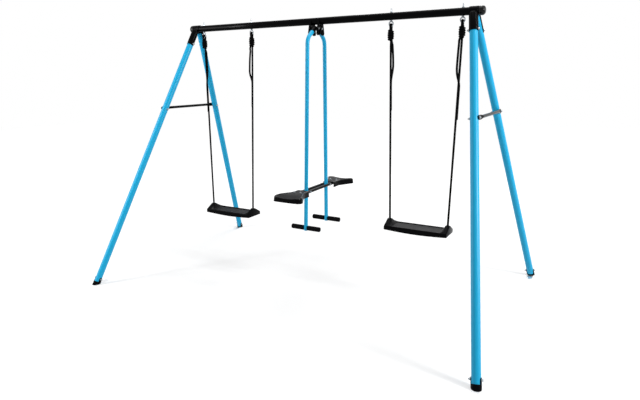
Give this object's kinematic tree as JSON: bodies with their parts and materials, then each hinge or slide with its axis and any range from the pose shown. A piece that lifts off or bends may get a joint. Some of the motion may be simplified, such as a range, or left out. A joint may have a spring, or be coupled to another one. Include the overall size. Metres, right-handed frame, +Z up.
{
  "type": "garden swing set",
  "caption": "A-frame garden swing set: blue tube legs under a black top beam, rope swings with moulded plank seats at the sides and a two-seat glider in the middle.",
  "frame": {"origin": "on the ground, midway between the four feet, under the middle of the top beam", "axes": "+X along the top beam to the right, +Y from the front feet to the back feet, +Z up"},
  "size_m": [2.852, 1.888, 1.949],
  "materials": {
    "blue_powder_coat": "gloss powder coat",
    "black_gloss_paint": "gloss paint",
    "black_moulded_plastic": "fine moulded grain",
    "black_grip_rubber": "matt",
    "zinc_plated_steel": "bright zinc",
    "black_rope": "braided"
  },
  "bodies": {
    "frame": {"top_beam": "black_gloss_paint", "beam_cap_left": "black_moulded_plastic", "beam_cap_right": "black_moulded_plastic", "corner_bracket_left": "black_moulded_plastic", "corner_bracket_right": "black_moulded_plastic", "bracket_bolt_left_front": "zinc_plated_steel", "bracket_bolt_left_back": "zinc_plated_steel", "bracket_bolt_right_front": "zinc_plated_steel", "bracket_bolt_right_back": "zinc_plated_steel", "leg_left_front": "blue_powder_coat", "leg_left_back": "blue_powder_coat", "leg_right_front": "blue_powder_coat", "leg_right_back": "blue_powder_coat", "cross_bar_left": "black_gloss_paint", "cross_bar_right": "black_gloss_paint", "cross_bar_bolt_left_front": "zinc_plated_steel", "cross_bar_bolt_left_back": "zinc_plated_steel", "cross_bar_bolt_right_front": "zinc_plated_steel", "cross_bar_bolt_right_back": "zinc_plated_steel", "foot_shoe_left_front": "black_moulded_plastic", "foot_shoe_left_back": "black_moulded_plastic", "foot_shoe_right_front": "black_moulded_plastic", "foot_shoe_right_back": "black_moulded_plastic", "ground_plate_left_front": "zinc_plated_steel", "ground_plate_left_back": "zinc_plated_steel", "ground_plate_right_front": "zinc_plated_steel", "ground_plate_right_back": "zinc_plated_steel", "foot_bolt_left_front": "zinc_plated_steel", "foot_bolt_left_back": "zinc_plated_steel", "foot_bolt_right_front": "zinc_plated_steel", "foot_bolt_right_back": "zinc_plated_steel", "eye_bolt_left_outer": "zinc_plated_steel", "eye_bolt_left_inner": "zinc_plated_steel", "eye_bolt_right_inner": "zinc_plated_steel", "eye_bolt_right_outer": "zinc_plated_steel", "hanger_plate_left": "black_gloss_paint", "hanger_plate_right": "black_gloss_paint", "hanger_pivot_bolt_front": "zinc_plated_steel", "hanger_pivot_bolt_back": "zinc_plated_steel"},
    "left_swing": {"swing_seat_left": "black_moulded_plastic", "rope_left_outer": "black_rope", "rope_left_inner": "black_rope"},
    "right_swing": {"swing_seat_right": "black_moulded_plastic", "rope_right_outer": "black_rope", "rope_right_inner": "black_rope"},
    "glider_front_arm": {"glider_tube_front": "blue_powder_coat", "footrest_bar_front": "black_gloss_paint", "footrest_grip_front_left": "black_grip_rubber", "footrest_grip_front_right": "black_grip_rubber"},
    "glider_back_arm": {"glider_tube_back": "blue_powder_coat", "footrest_bar_back": "black_gloss_paint", "footrest_grip_back_left": "black_grip_rubber", "footrest_grip_back_right": "black_grip_rubber"},
    "glider_seat_beam": {"seat_rail_left": "black_gloss_paint", "seat_rail_right": "black_gloss_paint", "glider_seat_front": "black_moulded_plastic", "glider_seat_back": "black_moulded_plastic", "rail_pivot_bolt_front": "zinc_plated_steel", "rail_pivot_bolt_back": "zinc_plated_steel"}
  },
  "joints": [
    {"name": "left_swing_hang", "type": "hinge", "parent": "frame", "child": "left_swing", "pos_m": [-0.779, 0, 1.8386], "axis": [1, 0, 0], "range_deg": [-50, 50]},
    {"name": "right_swing_hang", "type": "hinge", "parent": "frame", "child": "right_swing", "pos_m": [0.779, 0, 1.8386], "axis": [1, 0, 0], "range_deg": [-50, 50]},
    {"name": "glider_front_hang", "type": "hinge", "parent": "frame", "child": "glider_front_arm", "pos_m": [0, -0.026, 1.85], "axis": [1, 0, 0], "range_deg": [-20, 20]},
    {"name": "glider_back_hang", "type": "hinge", "parent": "frame", "child": "glider_back_arm", "pos_m": [0, 0.026, 1.85], "axis": [1, 0, 0], "range_deg": [-20, 20]},
    {"name": "glider_seat_pivot", "type": "hinge", "parent": "glider_front_arm", "child": "glider_seat_beam", "pos_m": [0, -0.15156, 0.718], "axis": [1, 0, 0], "range_deg": [-6, 6]}
  ],
  "couplings": [
    {"joint": "glider_back_hang", "follows": "glider_front_hang", "ratio": 1},
    {"joint": "glider_seat_pivot", "follows": "glider_front_hang", "ratio": -0.1715}
  ]
}
